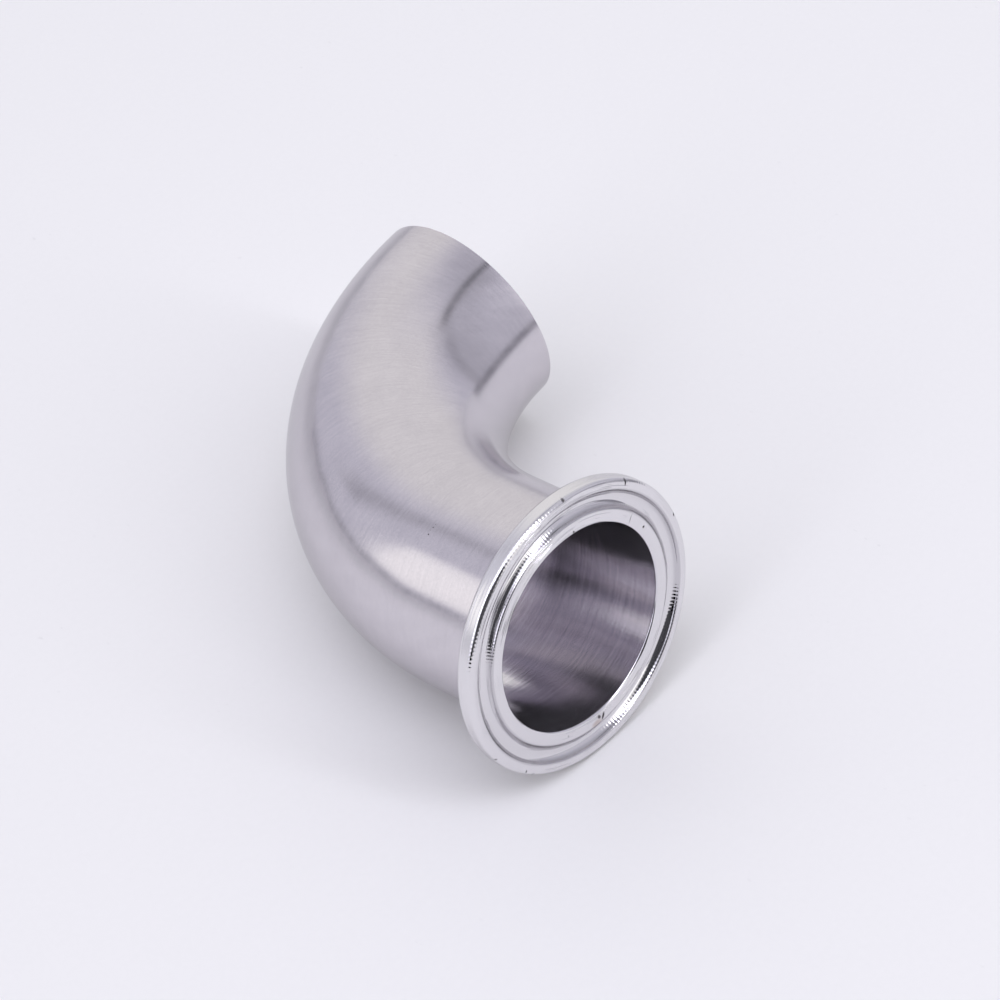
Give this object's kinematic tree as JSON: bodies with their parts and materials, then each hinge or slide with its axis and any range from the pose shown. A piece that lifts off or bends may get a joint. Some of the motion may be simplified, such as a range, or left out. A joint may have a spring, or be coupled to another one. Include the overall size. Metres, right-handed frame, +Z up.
{
  "type": "ninety degree elbow",
  "caption": "Short sanitary tube elbow that turns a flow through a right angle, with a grooved clamp ferrule on one end and a plain weld end on the other.",
  "frame": {"origin": "middle of the table under the elbow: the centre of its box, at the height of the table that it lies on", "axes": "+Z up from the table; -Y towards the side that the clamp port faces, from which its axis rises by 8.7 degrees; +X towards the side that the plain weld end faces, from which its axis rises by 8.5 degrees"},
  "size_m": [0.076, 0.093, 0.0503],
  "materials": {
    "polished_steel": "turned and polished stainless steel",
    "satin_steel": "satin stainless steel, with a duller bore"
  },
  "bodies": {
    "root": {"clamp_ferrule": "polished_steel", "elbow_bend": "satin_steel"}
  },
  "joints": []
}
